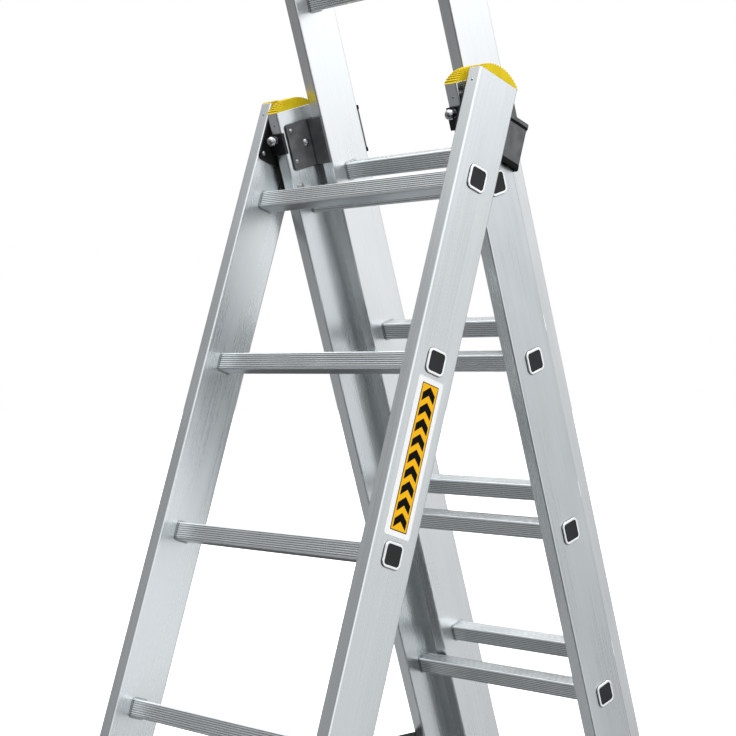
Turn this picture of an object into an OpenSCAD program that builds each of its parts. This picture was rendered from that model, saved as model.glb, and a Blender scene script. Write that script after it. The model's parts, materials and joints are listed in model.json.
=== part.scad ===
// Three-section aluminium combination ladder, standing open as an A-frame.
// The front and rear sections hinge on two pins near the top. The extension section slides inside
// the rear one and hangs on its rungs by two hooks.
//
// Each section is drawn in its own frame, which is then leaned into place:
//   x runs along the rungs, y goes back from the front face of the section's stiles,
//   and z runs up along the stiles from the level of the hinge pin.

/* [Ladder] */
// Outer width of the front section
front_w = 492; // [440:1:600]
// Distance between neighbouring rungs along the stile
rung_pitch = 280; // [250:1:340]
// Number of rungs in each section
rung_count = 7; // [6:1:9]
// Lean of each open section from upright, in degrees
lean = 18; // [15:0.5:21]
// Number of rung spaces by which the extension section is raised
raised_by = 2; // [1:1:3]

/* [Stiles] */
// Depth of a stile, front to back
stile_d = 85; // [75:1:105]
// Width of a stile's front face
stile_w = 24; // [20:1:30]
// Wall of the hollow stile
stile_wall = 2; // [1.5:0.1:3]
// Radius of the stile's outer corners
stile_corner = 2.5; // [1:0.1:4]
// Gap beside the rear section's stiles inside the front section
rear_side_gap = 10; // [9.5:0.5:16]
// Gap beside the extension section's stiles inside the rear section
extension_side_gap = 11.5; // [9.5:0.5:16]
// Stile length above the uppermost rung's centre
top_margin = 160; // [145:1:200]
// Front stile length below the lowest rung's centre
bottom_margin = 100; // [90:1:160]

/* [Rungs] */
// Side of the square rung tube
rung_size = 28; // [24:1:34]
// Wall of the rung tube
rung_wall = 1.6; // [1.2:0.1:2.2]
// Outer corner radius of the rung tube
rung_corner = 4; // [3:0.5:6]
// Number of anti-slip ribs on each ribbed face
rib_count = 6; // [4:1:7]
// Depth of the grooves between the ribs
rib_depth = 0.7; // [0.4:0.1:0.9]
// Side of the flared collar on the outer face of the stile
flare_size = 37; // [36:0.5:42]
// Thickness of the flared collar
flare_t = 2.4; // [1.6:0.2:3]
// Depth of the seat for a rung plug's head in the collar
plug_seat = 1.8; // [1.4:0.1:2]

/* [Hinge] */
// Depth of the hinge pin behind the rear section's front face
pin_inset = 15; // [13:0.5:18]
// Radius of the hinge pin
pin_r = 6; // [4:0.5:7]
// Distance of the front section's uppermost rung below the hinge pin
front_rung_drop = 38; // [36:1:48]
// Distance of the rear section's uppermost rung below the hinge pin
rear_rung_drop = 32; // [32:1:44]
// Thickness of the hinge and guide sheet steel
sheet_t = 3; // [2:0.5:3.5]
// Clear gap between a rung and the stile nested behind it
nest_gap = 6.5; // [6:0.5:12]
// Radius of the domed strap bolt head
strap_bolt_r = 8; // [7:0.5:10]

/* [Guides] */
// Height of a guide bracket
guide_h = 72; // [60:1:74]
// Clearance between a guide bracket and the stile that it guides
guide_gap = 1.8; // [1.6:0.1:3]
// Height of a plastic liner band
liner_h = 7; // [6:0.5:12]
// Height of the thickened upper edge of the front guide brackets
hem_h = 6; // [4:0.5:8]
// Inner radius of the bend in a guide bracket
bend_r = 7; // [4:0.5:7.5]

/* [Caps] */
// Height of the arched stile cap
cap_rise = 16; // [12:1:20]
// Number of grip ribs across the cap
cap_rib_count = 17; // [11:1:21]
// Height of the cap's grip ribs
cap_rib_h = 1.4; // [0.8:0.1:1.6]

/* [Stabiliser] */
// Length of the stabiliser bar
bar_w = 860; // [780:10:1000]
// Height of the stabiliser bar
bar_h = 40; // [30:1:50]
// Depth of the stabiliser bar, front to back
bar_d = 50; // [44:1:54]
// Wall of the stabiliser bar
bar_wall = 2; // [1.5:0.1:3]
// Rubber below the bar at its centre line
foot_drop = 32; // [28:1:50]
// Thinnest rubber below a rear stile
rear_foot_min = 14; // [10:1:25]

/* [Webbing] */
// Width of the safety webbing
web_w = 25; // [20:1:32]
// Thickness of the safety webbing
web_t = 2; // [1.5:0.1:2.4]

/* [Hidden] */
$fn = 48;
RUNGS = [1:rung_count];
SECTIONS = ["front", "rear", "extension"];
SIDES = ["left", "right"];

// --- widths of the three nested sections ---
rear_w = front_w - 2 * (stile_w + rear_side_gap);
extension_w = rear_w - 2 * (stile_w + extension_side_gap);

// --- depths ---
rung_mid = stile_d / 2;
rung_back = rung_mid + rung_size / 2;
// depth from one section's front face to that of the section nested behind it
nest_depth = rung_back + nest_gap;
front_pin_y = pin_inset + nest_depth;
nested_back = nest_depth + stile_d;

// --- heights along the stiles, from the hinge pin ---
front_top = top_margin - front_rung_drop;
rear_top = top_margin - rear_rung_drop;
// an extension rung stands this far above the rear rung that its hook rests on
hook_rise = 38;
extension_drop = rear_rung_drop - hook_rise - raised_by * rung_pitch;
extension_top = top_margin - extension_drop;
function rung_z(drop, i) = -drop - (rung_count - i) * rung_pitch;
front_end = rung_z(front_rung_drop, 1) - bottom_margin;
extension_end = rung_z(extension_drop, 1) - bottom_margin;
bar_bottom = front_end - bar_h;

// --- the floor, met by both leaned sections ---
function front_floor_z(y) = (-pin_height + (y - front_pin_y) * sin(lean)) / cos(lean);
function rear_floor_z(y) = -(pin_height + (y - pin_inset) * sin(lean)) / cos(lean);
pin_height = (foot_drop - bar_bottom) * cos(lean) + (bar_d / 2 - front_pin_y) * sin(lean);
rear_end = rear_floor_z(0) + rear_foot_min;
foot_skin = 3;
// the shift that puts the origin midway between the outermost toes of the feet
front_toe = (-foot_skin - front_pin_y) * cos(lean) + front_floor_z(-foot_skin) * sin(lean);
rear_heel = (stile_d + foot_skin - pin_inset) * cos(lean) - rear_floor_z(stile_d + foot_skin) * sin(lean);
pin_y = -(front_toe + rear_heel) / 2;

// --- rung ends ---
rung_hole = rung_size - 2 * rung_wall - 2 * rib_depth;
hole_corner = 2.5;
// the seat is wider than the rung by this on each side
seat_lap = 0.7;
seat_size = rung_size + 2 * seat_lap;
seat_corner = rung_corner + seat_lap;
flare_corner = 9;
// a flare stands off the stile by this gap, round a neck that is this much smaller
flare_gap = 0.8;
flare_lip = 1.6;
plug_sunk = 0.5;

// --- hinge ---
hinge_fit = 0.06;
pivot_lug_r = 13;
strap_z = [60, 94];
strap_bolt_z = 85;
strap_bolt_stem = 11;
plate_top = 100;
plate_foot = 25;

// --- guides ---
rear_guide_z = [29, 105];
front_guide_start = 60;
rear_guide_start = 10;
liner_t = 1.2;
liner_lap = 1.5;
liner_proud = 0.5;
hem_proud = 1.7;
tab_gap = 0.7;
// the open rear stile's back face passes the front guide's lip at this height
swing_z = ((stile_d - pin_inset) * (1 / cos(2 * lean) - 1) - guide_gap + liner_t) / tan(2 * lean);
swing_gap = 0.6;
front_guide_low = swing_z + liner_lap + swing_gap;
front_guide_z = [front_guide_low, front_guide_low + guide_h];

// --- hooks ---
hook_w = 20;
hook_gap = 0.4;
hook_arm = 15;
hook_lip = 5.5;
hooked_rung = rung_z(rear_rung_drop, 1 + raised_by);
touch = 0.1;

// --- stabiliser ---
bolt_r = 4;
stile_bolt_z = front_end + 45;
plate_rise = 66;

// --- webbing, halfway between two rungs ---
web_z = rung_z(front_rung_drop, 3) + rung_pitch / 2;
web_inset = 0.4;

// ===== frames =====
module front_frame() {
    translate([0, pin_y, pin_height]) rotate([-lean, 0, 0]) translate([0, -front_pin_y, 0]) children();
}
module rear_frame() {
    translate([0, pin_y, pin_height]) rotate([lean, 0, 0]) translate([0, -pin_inset, 0]) children();
}
module extension_frame() {
    rear_frame() translate([0, nest_depth, 0]) children();
}
module in_frame(section) {
    if (section == "front") front_frame() children();
    if (section == "rear") rear_frame() children();
    if (section == "extension") extension_frame() children();
}
// children are drawn for the right-hand side
module on_side(side) {
    if (side == "left") mirror([1, 0, 0]) children();
    else children();
}
module both_sides() {
    for (side = SIDES) on_side(side) children();
}
function section_w(section) = section == "front" ? front_w : section == "rear" ? rear_w : extension_w;
function section_drop(section) =
    section == "front" ? front_rung_drop : section == "rear" ? rear_rung_drop : extension_drop;
function section_top(section) = top_margin - section_drop(section);
function section_end(section) =
    section == "front" ? front_end : section == "rear" ? rear_end : extension_end;

// ===== outlines and basic shapes =====
// rectangle of w by d with rounded corners, centred
module rounded(w, d, r) {
    square([w - 2 * r, d], center = true);
    square([w, d - 2 * r], center = true);
    for (x = [-1, 1], y = [-1, 1]) translate([x * (w / 2 - r), y * (d / 2 - r)]) circle(r);
}
// extrudes a (y, z) outline along x, from x0 to x1
module along_x(x0, x1) {
    translate([x0, 0, 0]) rotate([90, 0, 90]) linear_extrude(x1 - x0) children();
}
// cylinder along x from x0 to x1
module rod_x(x0, x1, y, z, r) {
    translate([x0, y, z]) rotate([0, 90, 0]) cylinder(h = x1 - x0, r = r);
}
// cylinder along y from y0 to y1
module rod_y(x, y0, y1, z, r) {
    translate([x, y0, z]) rotate([-90, 0, 0]) cylinder(h = y1 - y0, r = r);
}
// domed rivet or bolt head with its flat side at the origin, rising along +z
module dome(r, h) {
    sphere_r = (r * r + h * h) / (2 * h);
    rotate_extrude() intersection() {
        translate([0, h - sphere_r]) circle(sphere_r, $fn = 96);
        square([r, h]);
    }
}
// domed head on a face that looks towards -x
module dome_in(x, y, z, r, h) {
    translate([x, y, z]) rotate([0, -90, 0]) dome(r, h);
}

// ===== stiles =====
module stile(section, side) {
    w = section_w(section);
    top = section_top(section);
    end = section_end(section);
    color("lightgray") in_frame(section) on_side(side) difference() {
        translate([(w - stile_w) / 2, rung_mid, end]) linear_extrude(top - end) difference() {
            rounded(stile_w, stile_d, stile_corner);
            square([stile_w - 2 * stile_wall, stile_d - 2 * stile_wall], center = true);
        }
        for (i = RUNGS) along_x(w / 2 - stile_w - 1, w / 2 + 1)
            translate([rung_mid, rung_z(section_drop(section), i)])
                rounded(rung_size + 2 * touch, rung_size + 2 * touch, rung_corner + touch);
        if (section == "rear") rod_x(w / 2 - stile_w - 1, w / 2 + 1, pin_inset, 0, pin_r + hinge_fit);
        if (section == "front") rod_y((w - stile_w) / 2, -1, stile_d + 1, stile_bolt_z, bolt_r + touch);
    }
}

// ===== rungs =====
module groove_row() {
    pitch = (rung_size - 2 * rung_corner) / rib_count;
    for (i = [0:rib_count]) translate([(i - rib_count / 2) * pitch, rung_size / 2])
        square([pitch * 0.42, 2 * rib_depth], center = true);
}
module rung_outline() {
    difference() {
        rounded(rung_size, rung_size, rung_corner);
        for (turn = [0, 90, -90]) rotate(turn) groove_row();
    }
}
module rung(section, i) {
    w = section_w(section);
    inner = w / 2 - stile_w;
    neck = flare_size - 2 * flare_lip;
    bead = rung_size + 3;
    bead_t = 1.2;
    color("silver") in_frame(section) translate([0, rung_mid, rung_z(section_drop(section), i)]) {
        difference() {
            union() {
                along_x(-w / 2 - flare_t, w / 2 + flare_t) rung_outline();
                both_sides() {
                    along_x(w / 2, w / 2 + flare_t) rounded(neck, neck, flare_corner - flare_lip);
                    along_x(w / 2 + flare_gap, w / 2 + flare_t - 0.5)
                        rounded(flare_size, flare_size, flare_corner);
                    along_x(w / 2 + flare_gap, w / 2 + flare_t)
                        rounded(flare_size - 1.2, flare_size - 1.2, flare_corner - 0.6);
                    along_x(inner - bead_t, inner) rounded(bead, bead, rung_corner + 1.5);
                }
            }
            along_x(-w / 2 - flare_t - 1, w / 2 + flare_t + 1)
                rounded(rung_hole, rung_hole, hole_corner);
            both_sides() along_x(w / 2 + flare_t - plug_seat, w / 2 + flare_t + 1)
                rounded(seat_size, seat_size, seat_corner);
        }
    }
}
module rung_plugs(section) {
    w = section_w(section);
    stem = rung_hole - 2 * touch;
    head = seat_size - 2 * touch;
    color("dimgray") in_frame(section) for (i = RUNGS) both_sides()
        translate([0, rung_mid, rung_z(section_drop(section), i)]) {
            along_x(w / 2 - 8, w / 2 + flare_t - plug_sunk) rounded(stem, stem, hole_corner - touch);
            along_x(w / 2 + flare_t - plug_seat, w / 2 + flare_t - plug_sunk)
                rounded(head, head, seat_corner - touch);
        }
}

// ===== yellow stile caps =====
module cap_outline() {
    arch_r = (rung_mid * rung_mid + cap_rise * cap_rise) / (2 * cap_rise);
    half_angle = asin(rung_mid / arch_r);
    intersection() {
        union() {
            translate([rung_mid, cap_rise - arch_r]) circle(arch_r, $fn = 180);
            for (i = [1:cap_rib_count - 1])
                translate([rung_mid, cap_rise - arch_r])
                    rotate(half_angle * (2 * i / cap_rib_count - 1))
                        translate([0, arch_r]) circle(cap_rib_h, $fn = 24);
        }
        square([stile_d, cap_rise + 2 * cap_rib_h]);
    }
}
module cap(section, side) {
    w = section_w(section);
    plug_w = stile_w - 2 * stile_wall - 2 * touch;
    plug_d = stile_d - 2 * stile_wall - 2 * touch;
    color("gold") in_frame(section) on_side(side) translate([0, 0, section_top(section)]) {
        along_x(w / 2 - stile_w, w / 2) cap_outline();
        translate([(w - stile_w) / 2 - plug_w / 2, rung_mid - plug_d / 2, -18])
            cube([plug_w, plug_d, 18 + touch]);
    }
}

// ===== hinge =====
module hinge_plate(side) {
    inner = front_w / 2 - stile_w;
    back = front_guide_start - 0.5;
    color("#1c1d1f") front_frame() on_side(side) difference() {
        along_x(inner - sheet_t, inner) {
            polygon([
                [1.5, plate_top], [1.5, plate_foot + 6], [7.5, plate_foot],
                [front_pin_y - 32, plate_foot], [front_pin_y - 12.2, -4.5],
                [front_pin_y + 8, 10.2], [back, plate_foot - 2],
                [back, plate_top - 4], [back - 4, plate_top]
            ]);
            translate([front_pin_y, 0]) circle(pivot_lug_r);
        }
        rod_x(inner - sheet_t - 1, inner + 1, front_pin_y, 0, pin_r + hinge_fit / 2);
    }
}
// pins stand in the front plates, pass through the rear stiles and end in a low rivet head
module hinge_pins() {
    inner = front_w / 2 - stile_w;
    leaf = rear_w / 2 + sheet_t;
    head_face = rear_w / 2 - stile_w - 0.4;
    color("#6f7478") front_frame() both_sides() {
        rod_x(head_face, inner - touch, front_pin_y, 0, pin_r);
        rod_x(leaf + 0.3, inner - sheet_t, front_pin_y, 0, pin_r + 3);
        dome_in(head_face, front_pin_y, 0, pin_r + 2, 1.2);
    }
}
module hinge_strap(side) {
    outer = rear_w / 2;
    inner = outer - stile_w;
    color("#161719") rear_frame() on_side(side) {
        difference() {
            along_x(outer, outer + sheet_t) {
                polygon([
                    [-sheet_t, strap_z[1]], [-sheet_t, strap_z[0]], [1.5, strap_z[0]],
                    [pin_inset - 12.5, 4], [pin_inset + 12.5, 4],
                    [pin_inset + 20, strap_z[0]], [pin_inset + 20, strap_z[1] - 6],
                    [pin_inset + 14, strap_z[1]]
                ]);
                translate([pin_inset, 0]) circle(pivot_lug_r);
            }
            rod_x(outer - 1, outer + sheet_t + 1, pin_inset, 0, pin_r + hinge_fit);
        }
        translate([inner - sheet_t, -sheet_t, strap_z[0]])
            cube([stile_w + 2 * sheet_t, sheet_t, strap_z[1] - strap_z[0]]);
        translate([inner - sheet_t, -sheet_t, strap_z[0]])
            cube([sheet_t, 2 * sheet_t, strap_z[1] - strap_z[0]]);
    }
}
// domed bolts that stand forward from the straps
module strap_bolts() {
    x = (rear_w - stile_w) / 2;
    head_y = -sheet_t - strap_bolt_stem;
    color("#83888c") rear_frame() both_sides() {
        rod_y(x, -sheet_t - 3, -sheet_t, strap_bolt_z, 6.5);
        rod_y(x, head_y, -sheet_t, strap_bolt_z, 4.5);
        rod_y(x, head_y, head_y + 2, strap_bolt_z, strap_bolt_r);
        translate([x, head_y, strap_bolt_z]) rotate([90, 0, 0]) dome(strap_bolt_r, strap_bolt_r - 0.5);
    }
}

// ===== guide brackets =====
// Plan of a bracket: a plate on the stile's inner face, bent round behind the nested stile.
// It runs from y = start to x = end, and is thicker inwards and outwards by the last two values.
module guide_plan(inner, start, end, inward = 0, outward = 0) {
    back = nested_back + guide_gap;
    bend = [inner - sheet_t - bend_r, back - bend_r];
    thick = sheet_t + inward + outward;
    translate([inner - sheet_t - inward, start]) square([thick, bend[1] - start]);
    translate([end, back - inward]) square([bend[0] - end, thick]);
    translate(bend) intersection() {
        difference() {
            circle(bend_r + sheet_t + outward);
            circle(bend_r - inward);
        }
        square(2 * bend_r + sheet_t);
    }
}
module front_guide_plan() {
    guide_plan(front_w / 2 - stile_w, front_guide_start, rear_w / 2 - stile_w + 3);
}
module rear_guide_plan() {
    guide_plan(rear_w / 2 - stile_w, rear_guide_start, extension_w / 2 - stile_w + 3);
}
// the front bracket is thicker along its upper edge
module front_guide(side) {
    inner = front_w / 2 - stile_w;
    color("#6b6e72") front_frame() on_side(side) {
        translate([0, 0, front_guide_z[0]])
            linear_extrude(front_guide_z[1] - front_guide_z[0]) front_guide_plan();
        translate([0, 0, front_guide_z[1] - hem_h]) linear_extrude(hem_h)
            guide_plan(inner, stile_d + 1, rear_w / 2 - stile_w + 3, outward = hem_proud);
    }
}
// the rear bracket also has a tab in front of the extension stile
module rear_guide(side) {
    inner = rear_w / 2 - stile_w;
    height = rear_guide_z[1] - rear_guide_z[0];
    tab_x = extension_w / 2 - stile_w;
    corner = 5;
    color("#5a5d61") rear_frame() on_side(side) difference() {
        translate([0, 0, rear_guide_z[0]]) linear_extrude(height) {
            rear_guide_plan();
            translate([tab_x, nest_depth - tab_gap - sheet_t]) square([inner - tab_x, sheet_t]);
        }
        for (z = rear_guide_z) along_x(inner - sheet_t - 1, inner + 1)
            translate([rear_guide_start, z]) difference() {
                square(2 * corner, center = true);
                translate([corner, z == rear_guide_z[0] ? corner : -corner]) circle(corner);
            }
    }
}
// plastic band round a bracket, from height low to high
module liner_band(z, low, high, inner, nested_inner) {
    end = nested_inner + 3;
    difference() {
        translate([0, 0, low]) linear_extrude(high - low)
            guide_plan(inner, stile_d + 1, end - 1, inward = liner_t, outward = liner_proud);
        translate([0, 0, z[0]]) linear_extrude(z[1] - z[0]) guide_plan(inner, stile_d, end);
    }
}
module front_guide_liners() {
    z = front_guide_z;
    color("#1f2022") front_frame() both_sides() for (band = [
        [z[0] - liner_lap, z[0] - liner_lap + liner_h],
        [z[1] - hem_h - liner_h / 2, z[1] - hem_h]
    ])
        liner_band(z, band[0], band[1], front_w / 2 - stile_w, rear_w / 2 - stile_w);
}
module rear_guide_liners() {
    z = rear_guide_z;
    color("#1f2022") rear_frame() both_sides() for (band = [
        [z[0] - liner_lap, z[0] - liner_lap + liner_h],
        [z[1] + liner_lap - liner_h, z[1] + liner_lap]
    ])
        liner_band(z, band[0], band[1], rear_w / 2 - stile_w, extension_w / 2 - stile_w);
}

// ===== rivets and small fixings =====
// small pin heads that hold the cap in the stile
module cap_pin(section) {
    translate([(section_w(section) - stile_w) / 2, 0, section_top(section) - 20])
        rotate([90, 0, 0]) dome(2.2, 0.9);
}
module front_rivets() {
    face = front_w / 2 - stile_w;
    color("#8d9297") front_frame() both_sides() {
        for (p = [[10, 35], [12, 88], [48, 38], [48, 88], [front_guide_start + 12, 36],
                  [front_guide_start + 12, 86]])
            dome_in(face - sheet_t, p[0], p[1], 4, 2.4);
        dome_in(face - 2 * web_inset - web_t, rung_mid, web_z, 8, 3);
        cap_pin("front");
    }
}
module rear_rivets() {
    face = rear_w / 2 - stile_w;
    color("#8d9297") rear_frame() both_sides() {
        for (p = [[18.5, 94], [17.5, 43], [stile_d - 10, 94], [stile_d - 10, 43]])
            dome_in(face - sheet_t, p[0], p[1], 4, 2.4);
        dome_in(face - sheet_t, (rear_guide_start + nest_depth) / 2 + 9, 69, 7, 5);
        translate([rear_w / 2 + 2 * web_inset + web_t, rung_mid, web_z]) rotate([0, 90, 0]) dome(8, 3);
        cap_pin("rear");
    }
}

// ===== stabiliser =====
module stabiliser_bar() {
    color("lightgray") front_frame() difference() {
        along_x(-bar_w / 2, bar_w / 2) translate([bar_d / 2, front_end - bar_h / 2]) difference() {
            rounded(bar_d, bar_h, stile_corner);
            square([bar_d - 2 * bar_wall, bar_h - 2 * bar_wall], center = true);
        }
        both_sides()
            rod_y((front_w - stile_w) / 2, -1, bar_d + 1, front_end - bar_h / 2, bolt_r + touch);
    }
}
module stabiliser_plates() {
    color("#8b9094") front_frame() both_sides() difference() {
        translate([(front_w - stile_w) / 2 - 10, -sheet_t, bar_bottom + 2])
            cube([20, sheet_t, bar_h + plate_rise]);
        for (z = [stile_bolt_z, front_end - bar_h / 2])
            rod_y((front_w - stile_w) / 2, -sheet_t - 1, 1, z, bolt_r + touch);
    }
}
// one hexagon bolt along y, through everything between its head and its nut
module through_bolt(x, y1, z) {
    rod_y(x, -sheet_t, y1 + 5, z, bolt_r);
    translate([x, -sheet_t, z]) rotate([90, 0, 0]) cylinder(h = 5, r = 7.5, $fn = 6);
    translate([x, y1, z]) rotate([-90, 0, 0]) cylinder(h = 6, r = 7.5, $fn = 6);
}
module stabiliser_bolts() {
    x = (front_w - stile_w) / 2;
    color("#8d9297") front_frame() both_sides() {
        through_bolt(x, stile_d, stile_bolt_z);
        through_bolt(x, bar_d, front_end - bar_h / 2);
    }
}
module stabiliser_feet() {
    low = -foot_skin;
    high = bar_d + foot_skin;
    color("#202123") front_frame() both_sides() difference() {
        along_x(bar_w / 2 - 45, bar_w / 2 + 6) difference() {
            polygon([
                [low, front_end + foot_skin], [high, front_end + foot_skin],
                [high, front_floor_z(high)], [low, front_floor_z(low)]
            ]);
            for (y = [bar_d * 0.2 : bar_d * 0.2 : bar_d * 0.8])
                translate([y, front_floor_z(y)]) square([3, 5], center = true);
        }
        along_x(bar_w / 2 - 46, bar_w / 2 + touch) translate([bar_d / 2, front_end - bar_h / 2])
            rounded(bar_d + 2 * touch, bar_h + 2 * touch, stile_corner);
    }
}
module rear_foot(side) {
    x = (rear_w - stile_w) / 2;
    high = stile_d + foot_skin;
    collar_top = rear_end + 45;
    color("#202123") rear_frame() on_side(side) difference() {
        intersection() {
            translate([x, rung_mid, rear_floor_z(high) - 1])
                linear_extrude(collar_top - rear_floor_z(high) + 1)
                    rounded(stile_w + 2 * foot_skin, stile_d + 2 * foot_skin, stile_corner + foot_skin);
            along_x(x - stile_w, x + stile_w) difference() {
                polygon([
                    [-foot_skin, collar_top], [high, collar_top],
                    [high, rear_floor_z(high)], [-foot_skin, rear_floor_z(-foot_skin)]
                ]);
                for (y = [stile_d * 0.15 : stile_d * 0.14 : stile_d * 0.9])
                    translate([y, rear_floor_z(y)]) square([3, 5], center = true);
            }
        }
        translate([x, rung_mid, rear_end]) linear_extrude(50)
            rounded(stile_w + 2 * touch, stile_d + 2 * touch, stile_corner);
    }
}

// ===== extension fittings =====
module end_caps(z, outward) {
    plug_w = stile_w - 2 * stile_wall - 2 * touch;
    plug_d = stile_d - 2 * stile_wall - 2 * touch;
    color("#2a2b2d") extension_frame() both_sides() translate([(extension_w - stile_w) / 2, rung_mid, z]) {
        translate([0, 0, outward > 0 ? 0 : -4]) linear_extrude(4)
            rounded(stile_w, stile_d, stile_corner);
        translate([0, 0, outward > 0 ? -16 : -touch]) linear_extrude(16 + touch)
            square([plug_w, plug_d], center = true);
    }
}
module extension_top_caps() {
    end_caps(extension_top, 1);
}
module extension_bottom_caps() {
    end_caps(extension_end, -1);
}
// hooks on the extension stiles that rest on a rear rung
module extension_hooks() {
    x = (extension_w - stile_w) / 2;
    rung_top = hooked_rung + rung_size / 2;
    front = rung_mid - rung_size / 2 - hook_gap;
    arm = rung_top + hook_gap;
    color("#9a9ea2") rear_frame() both_sides() difference() {
        along_x(x - hook_w / 2, x + hook_w / 2) polygon([
            [front - hook_lip, hooked_rung - 6], [front - 1.5, hooked_rung - 10], [front, hooked_rung - 10],
            [front, arm], [rung_back + hook_gap, arm],
            [rung_back + hook_gap, hooked_rung - 12], [nest_depth, hooked_rung - 16],
            [nest_depth, arm + hook_arm + 34], [rung_back + hook_gap, arm + hook_arm + 30],
            [rung_back + hook_gap, arm + hook_arm], [front - hook_lip + 5, arm + hook_arm],
            [front - hook_lip, arm + hook_arm - 5]
        ]);
        for (rise = [9, 22]) rod_y(x, rung_back, nest_depth + 1, arm + hook_arm + rise, 4 + touch);
    }
}
// flush screws that hold the hooks
module hook_bolts() {
    arm_top = hooked_rung + rung_size / 2 + hook_gap + hook_arm;
    color("#8d9297") rear_frame() both_sides() for (rise = [9, 22])
        rod_y((extension_w - stile_w) / 2, rung_back + hook_gap, nest_depth, arm_top + rise, 4);
}

// ===== safety webbing =====
// end points in the plane of the leaned frames, measured from the hinge pin
function front_web_y() = (rung_mid - front_pin_y) * cos(lean) + web_z * sin(lean);
function front_web_z() = -(rung_mid - front_pin_y) * sin(lean) + web_z * cos(lean);
function rear_web_y() = (rung_mid - pin_inset) * cos(lean) - web_z * sin(lean);
function rear_web_z() = (rung_mid - pin_inset) * sin(lean) + web_z * cos(lean);
module webbing(side) {
    x0 = front_w / 2 - stile_w - web_inset - web_t / 2;
    x1 = rear_w / 2 + web_inset + web_t / 2;
    dy = rear_web_y() - front_web_y();
    dz = rear_web_z() - front_web_z();
    span = sqrt(dy * dy + dz * dz);
    end = 14;
    color("#26282b") translate([0, pin_y, pin_height]) on_side(side)
        translate([x0, front_web_y(), front_web_z()])
            rotate([atan2(dz, dy), 0, atan2(x0 - x1, span)])
                translate([-web_t / 2, -end, -web_w / 2]) cube([web_t, span + 2 * end, web_w]);
}

for (s = SECTIONS) for (d = SIDES) stile(s, d);
for (s = SECTIONS) for (i = RUNGS) rung(s, i);
for (s = SECTIONS) rung_plugs(s);
for (d = SIDES) {
    cap("front", d);
    cap("rear", d);
    hinge_plate(d);
    hinge_strap(d);
    front_guide(d);
    rear_guide(d);
    rear_foot(d);
    webbing(d);
}
hinge_pins();
strap_bolts();
front_guide_liners();
rear_guide_liners();
front_rivets();
rear_rivets();
stabiliser_bar();
stabiliser_plates();
stabiliser_bolts();
stabiliser_feet();
extension_top_caps();
extension_bottom_caps();
extension_hooks();
hook_bolts();
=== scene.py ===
# Looks of the three-section combination ladder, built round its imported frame.
import json
import math

import bmesh
import bpy
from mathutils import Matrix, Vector


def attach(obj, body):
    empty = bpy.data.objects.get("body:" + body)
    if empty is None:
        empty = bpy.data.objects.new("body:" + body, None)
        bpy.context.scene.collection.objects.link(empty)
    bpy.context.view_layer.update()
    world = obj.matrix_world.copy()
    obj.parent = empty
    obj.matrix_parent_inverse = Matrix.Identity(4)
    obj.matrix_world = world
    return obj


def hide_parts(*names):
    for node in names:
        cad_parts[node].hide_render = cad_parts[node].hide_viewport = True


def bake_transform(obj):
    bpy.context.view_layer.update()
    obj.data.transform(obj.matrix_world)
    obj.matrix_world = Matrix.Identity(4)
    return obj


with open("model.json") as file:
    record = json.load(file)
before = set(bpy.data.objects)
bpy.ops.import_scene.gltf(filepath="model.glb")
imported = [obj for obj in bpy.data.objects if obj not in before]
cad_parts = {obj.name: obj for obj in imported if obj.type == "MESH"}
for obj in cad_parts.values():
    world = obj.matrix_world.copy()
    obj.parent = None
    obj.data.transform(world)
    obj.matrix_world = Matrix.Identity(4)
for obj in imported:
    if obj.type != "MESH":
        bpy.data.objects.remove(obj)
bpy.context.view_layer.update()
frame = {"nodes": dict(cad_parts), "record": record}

# ----- measures shared with the frame, in metres -----
LEAN = math.radians(18)
joints = {j["name"]: j for j in frame["record"]["behaviour"]["joints"]}
PIN = Vector(joints["fold"]["pos_m"])
FRONT_PIN_DEPTH = 0.078
REAR_PIN_DEPTH = 0.015
FRONT_W = 0.492
REAR_W = 0.424
EXTENSION_W = 0.353
STILE_W = 0.024
STILE_D = 0.085


def section_point(x, depth, up, lean):
    """A point of a leaning section: depth behind the pin's axis, up along the stiles from it."""
    cos, sin = math.cos(lean), math.sin(lean)
    return PIN + Vector((x, depth * cos + up * sin, up * cos - depth * sin))


def front_point(x, depth, up):
    """A point of the front section, with its depth from the front face of the stiles."""
    return section_point(x, depth - FRONT_PIN_DEPTH, up, LEAN)


def rear_point(x, depth, up):
    """The same for the rear section."""
    return section_point(x, depth - REAR_PIN_DEPTH, up, -LEAN)


# ----- camera -----
camera = bpy.data.objects.new("camera", bpy.data.cameras.new("camera"))
bpy.context.collection.objects.link(camera)
camera.location = (1.8802, -1.8371, 1.4771)
camera.rotation_euler = (math.radians(90.11), 0, math.radians(46.03))
camera.data.sensor_width = 36
camera.data.lens = 81.8
camera.data.clip_end = 200
bpy.context.scene.camera = camera


# ----- node helpers -----
# near-black that grooves, gaps and corners are darkened toward: painted shade
PAINTED_SHADE_COLOUR = (0.006, 0.006, 0.007, 1)


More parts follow.
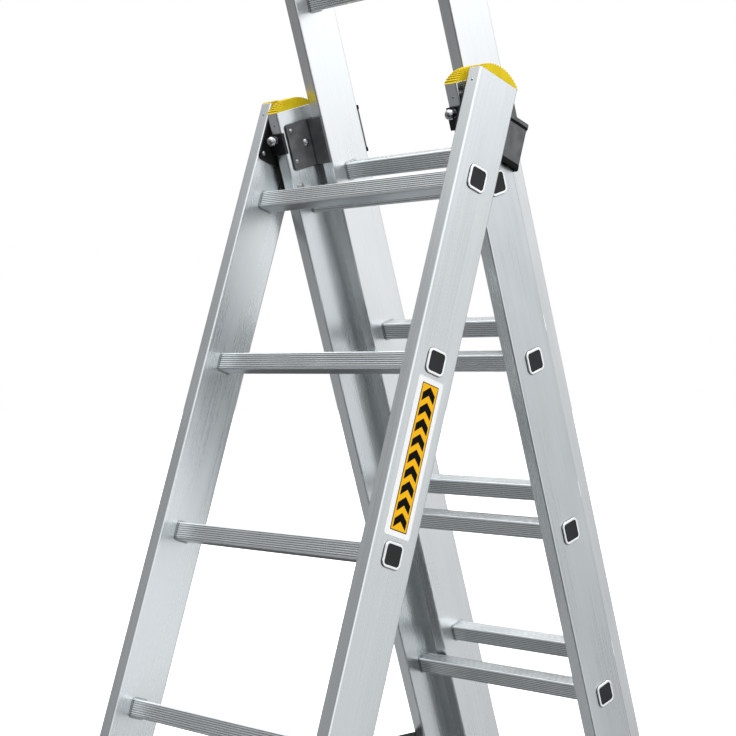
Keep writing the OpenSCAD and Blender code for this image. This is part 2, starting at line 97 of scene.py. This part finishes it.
class Graph:
    """Adds nodes to one node tree; an input is given either a value or another node's socket."""

    def __init__(self, tree):
        self.tree = tree
        tree.nodes.clear()

    def add(self, kind, inputs=None, **settings):
        node = self.tree.nodes.new("ShaderNode" + kind)
        for name, value in settings.items():
            setattr(node, name, value)
        for key, value in (inputs or {}).items():
            socket = node.inputs[key]
            if isinstance(value, bpy.types.NodeSocket):
                self.tree.links.new(value, socket)
            else:
                socket.default_value = value
        return node

    def math(self, operation, a, b=0.0, clamp=False):
        return self.add("Math", {0: a, 1: b}, operation=operation, use_clamp=clamp).outputs[0]

    def vector(self, operation, a, b):
        node = self.add("VectorMath", {0: a, 1: b}, operation=operation)
        return node.outputs["Value" if operation == "DOT_PRODUCT" else "Vector"]

    def spread(self, value, low, high, to_low, to_high, smooth=False):
        kind = "SMOOTHSTEP" if smooth else "LINEAR"
        sockets = {"Value": value, "From Min": low, "From Max": high, "To Min": to_low, "To Max": to_high}
        return self.add("MapRange", sockets, interpolation_type=kind).outputs["Result"]

    def blend(self, factor, a, b):
        node = self.add("Mix", data_type="RGBA")
        for index, value in ((0, factor), (6, a), (7, b)):
            if isinstance(value, bpy.types.NodeSocket):
                self.tree.links.new(value, node.inputs[index])
            else:
                node.inputs[index].default_value = value
        return node.outputs[2]

    def noise(self, vector, scale, detail=3.0, roughness=0.55):
        sockets = {"Vector": vector, "Scale": scale, "Detail": detail, "Roughness": roughness}
        return self.add("TexNoise", sockets).outputs["Fac"]

    def place(self, turn=0.0, stretch=(1, 1, 1)):
        """Object coordinates turned about x, then stretched."""
        at = self.add("TexCoord").outputs["Object"]
        if turn:
            at = self.add("VectorRotate", {"Vector": at, "Angle": turn}, rotation_type="X_AXIS").outputs[0]
        return self.vector("MULTIPLY", at, stretch)

    def edges(self, radius):
        """(rounded normal, 1 along sharp edges and 0 on flat faces)."""
        rounded = self.add("Bevel", {"Radius": radius}, samples=6).outputs[0]
        flat = self.add("NewGeometry").outputs["Normal"]
        facing = self.vector("DOT_PRODUCT", rounded, flat)
        return rounded, self.spread(facing, 0.995, 0.80, 0.0, 1.0, smooth=True)

    def painted_shade(self, colour, distance, depth):
        """The colour, darkened by up to depth in grooves, gaps and corners about this wide: painted shade."""
        open_sky = self.add("AmbientOcclusion", {"Distance": distance}, samples=8).outputs["AO"]
        amount = self.spread(open_sky, 0.92, 0.45, 0.0, depth, smooth=True)
        return self.blend(amount, colour, PAINTED_SHADE_COLOUR)

    def bump(self, height, strength, distance, normal=None):
        sockets = {"Height": height, "Strength": strength, "Distance": distance}
        if normal is not None:
            sockets["Normal"] = normal
        return self.add("Bump", sockets).outputs[0]

    def finish(self, **sockets):
        named = {key.replace("_", " "): value for key, value in sockets.items()}
        shader = self.add("BsdfPrincipled", named)
        self.add("OutputMaterial", {"Surface": shader.outputs[0]})


def new_material(name):
    material = bpy.data.materials.new(name)
    material.use_nodes = True
    return material, Graph(material.node_tree)


def grey(value, tint=0.0):
    """Neutral colour, with a little blue for a positive tint."""
    return (value * (1 - tint), value, value * (1 + tint), 1)


def scaled(colour, red, green=None, blue=None):
    """The colour times one factor, or times one factor for each channel."""
    factors = (red, red if green is None else green, red if blue is None else blue)
    return tuple(min(1, channel * factor) for channel, factor in zip(colour, factors)) + (1,)


# ----- metals -----
# near-white painted highlight laid along every edge of the extrusions
PAINTED_EDGE_HIGHLIGHT = (0.93, 0.94, 0.95, 1)
BRIGHT_COLLAR = (0.97, 0.975, 0.98, 1)
COLLAR_FADE = 0.0006  # width over which a rung turns from tube to collar


def extruded(name, colour, turn, stretch, roughness, streak=0.03, painted_shade=0.003, flare_at=None):
    """Mill-finish extrusion: fine die lines along its length, faint cloudiness, edges lightened as a painted
    highlight, and painted shade in grooves and gaps out to the given width.

    Beyond flare_at on either side, a rung's swaged collar is bright and less glossy.
    """
    material, g = new_material(name)
    along = g.place(turn, stretch)
    die = g.noise(along, 1.0, 6.0, 0.62)
    fine = g.noise(along, 5.0, 4.0, 0.6)
    cloud = g.noise(g.place(turn, (1, 1, 0.35)), 14.0, 3.0, 0.5)
    speck = g.noise(g.place(), 900.0, 2.0, 0.6)
    rounded, edge = g.edges(0.0009)
    mixed = g.math("ADD", g.math("MULTIPLY", die, 0.6), g.math("MULTIPLY", cloud, 0.4))
    tone = g.blend(g.spread(mixed, 0.34, 0.66, 0.0, 1.0), scaled(colour, 1 - streak), scaled(colour, 1 + streak))
    # painted highlight: every edge lightened toward near white
    tone_with_painted_light = g.blend(g.math("MULTIPLY", edge, 0.45), tone, PAINTED_EDGE_HIGHLIGHT)
    if flare_at:
        side = g.math("ABSOLUTE", g.add("SeparateXYZ", {0: g.place()}).outputs[0])
        collar = g.spread(side, flare_at, flare_at + COLLAR_FADE, 0.0, 1.0)
        tone_with_painted_light = g.blend(collar, tone_with_painted_light, BRIGHT_COLLAR)
    # painted shade: darker in grooves, gaps and corners
    tone_with_painted_light = g.painted_shade(tone_with_painted_light, painted_shade, 0.85)
    matt = g.spread(die, 0.3, 0.7, roughness - 0.03, roughness + 0.04)
    matt = g.math("ADD", matt, g.spread(cloud, 0.35, 0.65, -0.03, 0.03))
    matt = g.math("SUBTRACT", matt, g.math("MULTIPLY", edge, 0.08), clamp=True)
    if flare_at:
        matt = g.math("ADD", matt, g.math("MULTIPLY", collar, 0.22))
    height = g.math("ADD", g.math("MULTIPLY", fine, 0.7), g.math("MULTIPLY", speck, 0.3))
    normal = g.bump(height, 0.09, 0.0003, rounded)
    g.finish(Base_Color=tone_with_painted_light, Metallic=1.0, Roughness=matt, Normal=normal)
    return material


def plated(name, colour, roughness, grain=700.0):
    """Zinc-plated or tumbled metal with a fine grain."""
    material, g = new_material(name)
    at = g.place()
    grit = g.noise(at, grain, 4.0, 0.6)
    stain = g.noise(at, 60.0, 4.0, 0.6)
    rounded, edge = g.edges(0.0005)
    tone = g.blend(g.spread(stain, 0.35, 0.65, 0.0, 1.0), scaled(colour, 0.82, 0.82, 0.80), colour)
    # painted highlight: edges lightened toward near white
    tone = g.blend(g.math("MULTIPLY", edge, 0.5), tone, (0.86, 0.87, 0.88, 1))
    # painted shade: darker in gaps and corners
    tone = g.painted_shade(tone, 0.004, 0.9)
    matt = g.spread(grit, 0.3, 0.7, roughness - 0.06, roughness + 0.08)
    g.finish(Base_Color=tone, Metallic=1.0, Roughness=matt, Normal=g.bump(grit, 0.2, 0.0002, rounded))
    return material


def coated(name, colour, roughness, metallic, wear, specular=0.5):
    """Powder-coated steel: orange-peel skin, with bare metal showing a little at the edges."""
    material, g = new_material(name)
    at = g.place()
    peel = g.noise(at, 420.0, 3.0, 0.5)
    chips = g.noise(at, 260.0, 5.0, 0.65)
    shade = g.noise(at, 45.0, 3.0, 0.5)
    rounded, edge = g.edges(0.0006)
    bare = g.math("MULTIPLY", edge, g.spread(chips, 0.42, 0.6, 0.0, wear))
    tone = g.blend(g.spread(shade, 0.35, 0.65, 0.0, 1.0), scaled(colour, 0.8), scaled(colour, 1.2))
    # real wear: bare metal at chipped edges; then painted shade in gaps and corners
    tone = g.painted_shade(g.blend(bare, tone, (0.46, 0.47, 0.48, 1)), 0.006, 0.8)
    matt = g.spread(peel, 0.3, 0.7, roughness - 0.06, roughness + 0.08)
    g.finish(Base_Color=tone, Metallic=metallic, Roughness=matt, Normal=g.bump(peel, 0.25, 0.0003, rounded),
             Specular_IOR_Level=specular)
    return material


# ----- plastics, rubber and webbing -----
def moulded(name, colour, roughness, grain, strength=0.2, edge_highlight=0.25, specular=0.5):
    """Injection-moulded plastic with a fine eroded skin, edges lightened as a painted highlight, and painted shade in
    gaps.
    """
    material, g = new_material(name)
    at = g.place()
    skin = g.noise(at, grain, 3.0, 0.6)
    shade = g.noise(at, 38.0, 4.0, 0.6)
    rounded, edge = g.edges(0.0006)
    tone = g.blend(g.spread(shade, 0.33, 0.67, 0.0, 1.0), scaled(colour, 0.9, 0.88, 0.8),
                   scaled(colour, 1.06, 1.07, 1.2))
    # painted highlight: edges lightened toward a paler colour; then painted shade in gaps and corners
    pale = tuple(min(1, channel * 1.3 + 0.03) for channel in colour[:3]) + (1,)
    tone = g.painted_shade(g.blend(g.math("MULTIPLY", edge, edge_highlight), tone, pale), 0.003, 0.75)
    matt = g.spread(skin, 0.3, 0.7, roughness - 0.07, roughness + 0.09)
    g.finish(Base_Color=tone, Roughness=matt, Normal=g.bump(skin, strength, 0.0002, rounded),
             Specular_IOR_Level=specular)
    return material


RIB_SPACING, PICK_SPACING = 0.0016, 0.0011  # of the woven tape, across and along


def woven(name, colour):
    """Plain-weave polyester tape; u runs across it and v along it, both in metres."""
    material, g = new_material(name)
    at = g.add("TexCoord").outputs["UV"]
    split = g.add("SeparateXYZ", {0: at})
    across, along = split.outputs[0], split.outputs[1]
    ribs = g.math("SINE", g.math("MULTIPLY", across, math.pi / RIB_SPACING))
    stagger = g.math("MULTIPLY", g.math("SIGN", ribs), math.pi / 4)
    picks = g.math("SINE", g.math("ADD", g.math("MULTIPLY", along, math.pi / PICK_SPACING), stagger))
    weave = g.math("MULTIPLY", g.math("ABSOLUTE", ribs), g.math("ABSOLUTE", picks))
    fuzz = g.noise(g.vector("MULTIPLY", at, (2400, 900, 1)), 1.0, 3.0, 0.6)
    fade = g.noise(g.vector("MULTIPLY", at, (40, 12, 1)), 1.0, 3.0, 0.5)
    height = g.math("ADD", weave, g.math("MULTIPLY", fuzz, 0.25))
    # the tape's colour darkened where the weave dips and lightened on the raised threads: painted shade and painted
    # highlight
    tone = g.blend(g.spread(weave, 0.1, 0.8, 0.0, 1.0), scaled(colour, 0.45), scaled(colour, 1.3))
    tone = g.blend(g.spread(fade, 0.4, 0.7, 0.0, 0.35), tone, scaled(colour, 1.9))
    g.finish(Base_Color=tone, Roughness=0.82, Normal=g.bump(height, 0.8, 0.0004), Sheen_Weight=0.35)
    return material


def printed(name, colour, roughness=0.42, specular=0.3):
    """Printed vinyl film."""
    material, g = new_material(name)
    at = g.place()
    ink = g.noise(at, 520.0, 3.0, 0.6)
    scuff = g.noise(g.vector("MULTIPLY", at, (60, 60, 420)), 1.0, 4.0, 0.6)
    tone = g.blend(g.spread(ink, 0.35, 0.65, 0.0, 1.0), scaled(colour, 0.93), colour)
    matt = g.spread(scuff, 0.35, 0.65, roughness - 0.06, roughness + 0.1)
    g.finish(Base_Color=tone, Roughness=matt, Normal=g.bump(ink, 0.06, 0.0001), Specular_IOR_Level=specular)
    return material


# die lines: how fine they are along x, y and z, coarse along the part and fine across it
STILE_LINES, RUNG_LINES, BAR_LINES = (230, 230, 2.2), (2.2, 300, 300), (2.2, 230, 230)
# the three stiles are one aluminium, coloured for how light falls on each section: the rear painted darker as painted
# shade, the extension painted lighter as painted light
front_stile = extruded("stile_front_aluminium", (0.77, 0.80, 0.815, 1), LEAN, STILE_LINES, 0.28)
rear_stile = extruded("stile_rear_aluminium_painted_shade", (0.73, 0.765, 0.78, 1), -LEAN, STILE_LINES, 0.30)
extension_stile = extruded("stile_extension_aluminium_painted_light", (0.83, 0.85, 0.86, 1), -LEAN, STILE_LINES, 0.30)
rung_metals = {}
for section, width in (("front", FRONT_W), ("rear", REAR_W), ("extension", EXTENSION_W)):
    rung_metals[section] = extruded("rung_%s_aluminium" % section, (0.82, 0.85, 0.865, 1), 0.0, RUNG_LINES, 0.34,
                                    streak=0.05, painted_shade=0.0035, flare_at=width / 2)
bar_metal = extruded("bar_aluminium", (0.77, 0.80, 0.81, 1), 0.0, BAR_LINES, 0.32)
hook_metal = plated("hook_aluminium", (0.60, 0.61, 0.62, 1), 0.42, 420.0)
bolt_metal = plated("bolt_zinc", (0.46, 0.47, 0.48, 1), 0.28)
rivet_metal = plated("rivet_zinc", (0.40, 0.41, 0.43, 1), 0.33)
plate_metal = plated("plate_zinc", (0.58, 0.59, 0.60, 1), 0.36, 500.0)
hinge_coat = coated("hinge_black_coat", grey(0.011, 0.03), 0.42, 0.0, 0.4, 0.28)
guide_coat = coated("guide_grey_coat", grey(0.125, 0.02), 0.46, 0.2, 0.5, 0.3)
yellow = moulded("cap_yellow", (0.78, 0.58, 0.010, 1), 0.5, 1100.0, 0.16, 0.5, 0.12)
# the rung ends are open tubes; these black discs stand for the shade inside them: painted shade
rung_hollow_painted_shade = moulded("rung_hollow_painted_shade", grey(0.022, 0.06), 0.55, 900.0, 0.25, 0.2, 0.2)
liner_black = moulded("liner_black", grey(0.006, 0.03), 0.6, 900.0, 0.2, 0.2, 0.1)
rubber = moulded("rubber_black", grey(0.014), 0.74, 500.0, 0.35, 0.35, 0.3)
web_black = woven("webbing_black", (0.035, 0.037, 0.042, 1))
thread_grey = moulded("thread_grey", grey(0.20), 0.7, 2500.0, 0.3, 0.0)
film_white = printed("film_white", (0.95, 0.95, 0.94, 1))
film_yellow = printed("film_yellow", (0.97, 0.50, 0.006, 1), specular=0.1)
film_black = printed("film_black", (0.004, 0.004, 0.004, 1), specular=0.05)


# ----- what each CAD node is made of: the first line whose words are in the node's name -----
FINISHES = (
    ("front_stile", front_stile), ("rear_stile", rear_stile), ("extension_stile", extension_stile),
    ("rung_plugs", rung_hollow_painted_shade), ("front_rung", rung_metals["front"]), ("rear_rung", rung_metals["rear"]),
    ("extension_rung", rung_metals["extension"]), ("front_cap", yellow), ("rear_cap", yellow),
    ("hinge_plate", hinge_coat), ("hinge_strap", hinge_coat), ("hinge_pins", bolt_metal),
    ("strap_bolts", bolt_metal), ("guide_liners", liner_black), ("_guide_", guide_coat),
    ("_rivets", rivet_metal), ("stabiliser_bar", bar_metal), ("stabiliser_plates", plate_metal),
    ("stabiliser_bolts", bolt_metal), ("stabiliser_feet", rubber), ("rear_foot", rubber),
    ("_caps", liner_black), ("hooks", hook_metal), ("hook_bolts", bolt_metal), ("webbing", web_black),
)


def finish_of(node):
    for words, material in FINISHES:
        if words in node:
            return material
    raise SystemExit("no finish for " + node)


for name, node in frame["nodes"].items():
    for material_slot in node.material_slots:
        material_slot.material = finish_of(name)


# ----- pieces -----
def add_piece(name, mesh, material, body=None, smooth=False):
    piece = bpy.data.objects.new(name, mesh)
    bpy.context.collection.objects.link(piece)
    mesh.materials.append(material)
    for polygon in mesh.polygons:
        polygon.use_smooth = smooth
    if body:
        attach(piece, body)
    return piece


def closed_mesh(name, bm):
    """The mesh of a closed shape, with its normals turned outward."""
    bmesh.ops.recalc_face_normals(bm, faces=bm.faces)
    mesh = bpy.data.meshes.new(name)
    bm.to_mesh(mesh)
    bm.free()
    return mesh


def slab_mesh(name, outlines, to_world, low, high):
    """Flat plates between x = low and x = high; each outline is a list of (depth, up) corners."""
    bm = bmesh.new()
    for outline in outlines:
        lower = [bm.verts.new(to_world(low, depth, up)) for depth, up in outline]
        upper = [bm.verts.new(to_world(high, depth, up)) for depth, up in outline]
        bm.faces.new(lower[::-1])
        bm.faces.new(upper)
        for i in range(len(outline)):
            k = (i + 1) % len(outline)
            bm.faces.new((lower[i], lower[k], upper[k], upper[i]))
    return closed_mesh(name, bm)


def rounded_outline(low, high, radius, steps=6):
    """Corners of a rounded rectangle between two (depth, up) corners."""
    points = []
    corners = ((high[0], high[1], 0), (low[0], high[1], 90), (low[0], low[1], 180), (high[0], low[1], 270))
    for cx, cy, start in corners:
        sx, sy = (-1 if cx == high[0] else 1), (-1 if cy == high[1] else 1)
        for k in range(steps + 1):
            angle = math.radians(start + 90 * k / steps)
            points.append((cx + sx * radius + radius * math.cos(angle),
                           cy + sy * radius + radius * math.sin(angle)))
    return points


# generic printed label on the front section's right stile: white film, yellow panel, black chevrons
LABEL_LOW, LABEL_HIGH = (0.0170, -0.5720), (0.0680, -0.3430)
PANEL_LOW, PANEL_HIGH = (0.0265, -0.5640), (0.0600, -0.3510)
BORDER = 0.0013
CHEVRONS, PITCH, THICK, RISE = 9, 0.0228, 0.0125, 0.0105
CHEVRON_MARGIN = 0.003
FACE = FRONT_W / 2
FILM, FILM_SINK = 0.00012, 0.00002  # each layer's thickness, and how far it reaches into the one below


def label_layer(name, outlines, level, material):
    mesh = slab_mesh(name, outlines, front_point, FACE + FILM * (level - 1) - FILM_SINK, FACE + FILM * level)
    piece = add_piece(name, mesh, material, "front_section")


def inset(low, high, by):
    return (low[0] + by, low[1] + by), (high[0] - by, high[1] - by)


label_layer("label_film", [rounded_outline(LABEL_LOW, LABEL_HIGH, 0.003)], 1, film_white)
label_layer("label_border", [rounded_outline(PANEL_LOW, PANEL_HIGH, 0.0012)], 2, film_black)
panel_low, panel_high = inset(PANEL_LOW, PANEL_HIGH, BORDER)
label_layer("label_panel", [rounded_outline(panel_low, panel_high, 0.0006)], 3, film_yellow)
chevrons = []
half = (panel_high[0] - panel_low[0]) / 2 - CHEVRON_MARGIN
middle = (panel_high[0] + panel_low[0]) / 2
first = (panel_high[1] + panel_low[1]) / 2 - (CHEVRONS - 1) / 2 * PITCH - (THICK + RISE) / 2
for n in range(CHEVRONS):
    foot = first + n * PITCH
    chevrons.append([(middle - half, foot), (middle, foot + RISE), (middle + half, foot),
                     (middle + half, foot + THICK), (middle, foot + RISE + THICK), (middle - half, foot + THICK)])
label_layer("label_chevrons", chevrons, 4, film_black)

# woven safety straps between the two sections, with a sewn box at each end
WEB_W, WEB_T, WEB_END = 0.025, 0.0018, 0.013  # width, thickness and length past each rivet
WEB_UP = -1.018  # height of the rivets along the stiles
WEB_OFF = 0.0014  # from a stile's face to the middle of the tape
SAG = 0.004
FACE_POINTS, EDGE_STEPS, RUN_STEPS = 12, 4, 90
SEAM_FROM_RIVET = 0.021
SEAM_HALF_W, SEAM_HALF_L = 0.0085, 0.0065
STITCH, THREAD_R, THREAD_RISE, THREAD_SIDES = 0.0032, 0.00042, 0.0003, 8
THREAD_SHAPE = ((0.0, 0.3), (0.15, 0.85), (0.5, 1.0), (0.85, 0.85), (1.0, 0.3))  # (place along, thickness)


def tape_profile():
    """The tape's outline as (across, through) corners, with rounded selvedges."""
    corner = WEB_T / 2
    profile = []
    for face in (1, -1):
        for k in range(FACE_POINTS):
            step = (WEB_W - 2 * corner) * k / (FACE_POINTS - 1)
            profile.append((face * (WEB_W / 2 - corner - step), face * corner))
        for k in range(1, EDGE_STEPS):
            a = face * math.pi / 2 + math.pi * k / EDGE_STEPS
            profile.append((face * (corner - WEB_W / 2) + corner * math.cos(a), corner * math.sin(a)))
    return profile


def strap_mesh(name, start, end, across):
    """A tape from start to end with a slight sag; uv in metres."""
    bm = bmesh.new()
    uv = bm.loops.layers.uv.new("uv")
    run = end - start
    length = run.length
    tangent = run.normalized()
    thick = tangent.cross(across).normalized()
    profile = tape_profile()
    rows = []
    for s in range(RUN_STEPS + 1):
        f = s / RUN_STEPS
        centre = start + run * f - Vector((0, 0, SAG * 4 * f * (1 - f)))
        rows.append([bm.verts.new(centre + across * w + thick * t) for w, t in profile])
    count = len(profile)
    for s in range(RUN_STEPS):
        for k in range(count):
            j = (k + 1) % count
            face = bm.faces.new((rows[s][k], rows[s][j], rows[s + 1][j], rows[s + 1][k]))
            turn = 1 if profile[k][1] + profile[j][1] >= 0 else -1
            for loop, (row, col) in zip(face.loops, ((s, k), (s, j), (s + 1, j), (s + 1, k))):
                loop[uv].uv = (profile[col][0] * turn + 0.1, length * row / RUN_STEPS)
    bm.faces.new(rows[0][::-1])
    bm.faces.new(rows[-1])
    return closed_mesh(name, bm)


def stitch_mesh(name, centre, tangent, across, out):
    """A sewn box: short raised threads in a rectangle round centre, on the side that faces out."""
    bm = bmesh.new()
    w, h = SEAM_HALF_W, SEAM_HALF_L
    lines = [((-w, -h), (w, -h)), ((-w, h), (w, h)), ((-w, -h), (-w, h)), ((w, -h), (w, h))]
    for (a0, b0), (a1, b1) in lines:
        span = math.hypot(a1 - a0, b1 - b0)
        count = max(3, round(span / STITCH))
        for k in range(count):
            f0, f1 = (k + 0.14) / count, (k + 0.86) / count
            p0 = centre + across * (a0 + (a1 - a0) * f0) + tangent * (b0 + (b1 - b0) * f0)
            p1 = centre + across * (a0 + (a1 - a0) * f1) + tangent * (b0 + (b1 - b0) * f1)
            direction = (p1 - p0).normalized()
            side = direction.cross(out)
            rings = []
            for f, size in THREAD_SHAPE:
                mid = p0.lerp(p1, f) + out * (THREAD_RISE * math.sin(math.pi * f))
                rings.append([bm.verts.new(mid + (side * math.cos(t) + out * math.sin(t)) * THREAD_R * size)
                              for t in (math.pi * 2 * q / THREAD_SIDES for q in range(THREAD_SIDES))])
            for ring, after in zip(rings, rings[1:]):
                for q in range(THREAD_SIDES):
                    j = (q + 1) % THREAD_SIDES
                    bm.faces.new((ring[q], ring[j], after[j], after[q]))
            bm.faces.new(rings[0][::-1])
            bm.faces.new(rings[-1])
    return closed_mesh(name, bm)


for side, sign in (("left", -1), ("right", 1)):
    front_hold = front_point(sign * (FRONT_W / 2 - STILE_W - WEB_OFF), STILE_D / 2, WEB_UP)
    rear_hold = rear_point(sign * (REAR_W / 2 + WEB_OFF), STILE_D / 2, WEB_UP)
    tangent = (rear_hold - front_hold).normalized()
    out = Vector((sign, 0, 0))
    out = (out - tangent * out.dot(tangent)).normalized()
    across = tangent.cross(out).normalized()
    start, end = front_hold - tangent * WEB_END, rear_hold + tangent * WEB_END
    mesh = strap_mesh("webbing_strap_" + side, start, end, across)
    strap = add_piece("webbing_strap_" + side, mesh, web_black, smooth=True)
    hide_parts("webbing_" + side)
    # each seam lies on the side away from its stile, between the rivet and the free run
    for where, at, face in (("front", front_hold, -1), ("rear", rear_hold, 1)):
        centre = at - tangent * (face * SEAM_FROM_RIVET) + out * (face * WEB_T / 2)
        mesh = stitch_mesh("stitches", centre, tangent, across, out * face)
        seam = add_piece("webbing_stitches_%s_%s" % (where, side), mesh, thread_grey, where + "_section", smooth=True)
    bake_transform(strap)

# ----- floor -----
floor_mesh = bpy.data.meshes.new("floor")
bm = bmesh.new()
bmesh.ops.create_circle(bm, cap_ends=True, radius=60, segments=96)
bm.to_mesh(floor_mesh)
bm.free()
floor = bpy.data.objects.new("floor", floor_mesh)
bpy.context.collection.objects.link(floor)
floor.location = (0, 0, -0.0005)
floor_paint, g = new_material("floor_pale")
mottle = g.spread(g.noise(g.place(), 3.0, 4.0, 0.5), 0.3, 0.7, 0.0, 1.0)
tone = g.blend(mottle, grey(0.90), grey(0.93))
g.finish(Base_Color=tone, Roughness=0.9)
floor_mesh.materials.append(floor_paint)
floor.visible_glossy = False  # the metal reflects the studio, not the floor
floor.visible_diffuse = False

# ----- studio light: soft glows that the metal reflects, a plain white background for the camera, a soft sun -----
world = bpy.data.worlds.new("studio")
bpy.context.scene.world = world
world.use_nodes = True
g = Graph(world.node_tree)
toward = g.add("TexCoord").outputs["Generated"]
# (direction, cosines where the glow starts and is full, strength)
GLOWS = (
    ((0.68, 0.73, 0.0), 0.35, 0.95, 0.37),
    ((0.966, 0.259, 0.0), 0.78, 0.98, 0.68),
    ((0.55, 0.62, 0.56), 0.88, 0.97, 1.2),
    ((0.78, -0.50, 0.36), 0.68, 0.96, 0.80),
    ((0.0, 0.0, 1.0), 0.42, 0.70, 0.90),
    ((-0.70, 0.48, 0.53), 0.86, 1.0, 0.80),
    ((-0.72, -0.60, 0.32), 0.70, 1.0, 0.17),
    ((-0.70, -0.42, -0.58), 0.88, 1.0, 0.38),
)
height = g.add("SeparateXYZ", {0: toward}).outputs[2]
level = g.spread(height, -0.30, 0.25, 0.10, 0.18, smooth=True)
for direction, start, full, strength in GLOWS:
    facing = g.vector("DOT_PRODUCT", toward, Vector(direction).normalized())
    level = g.math("ADD", level, g.spread(facing, start, full, 0.0, strength, smooth=True))
studio = g.add("Background", {"Color": (0.97, 0.985, 1.0, 1), "Strength": level}).outputs[0]
plain = g.add("Background", {"Color": (1, 1, 1, 1), "Strength": 1.0}).outputs[0]
seen = g.add("LightPath").outputs["Is Camera Ray"]
mixed = g.add("MixShader", {0: seen, 1: studio, 2: plain}).outputs[0]
g.add("OutputWorld", {"Surface": mixed})

sun = bpy.data.objects.new("soft_top", bpy.data.lights.new("soft_top", "SUN"))
sun.data.energy = 3.5
sun.data.angle = 1.3
bpy.context.collection.objects.link(sun)

bpy.context.scene.view_settings.view_transform = "Standard"

# ----- update the view layer -----
bpy.context.view_layer.update()
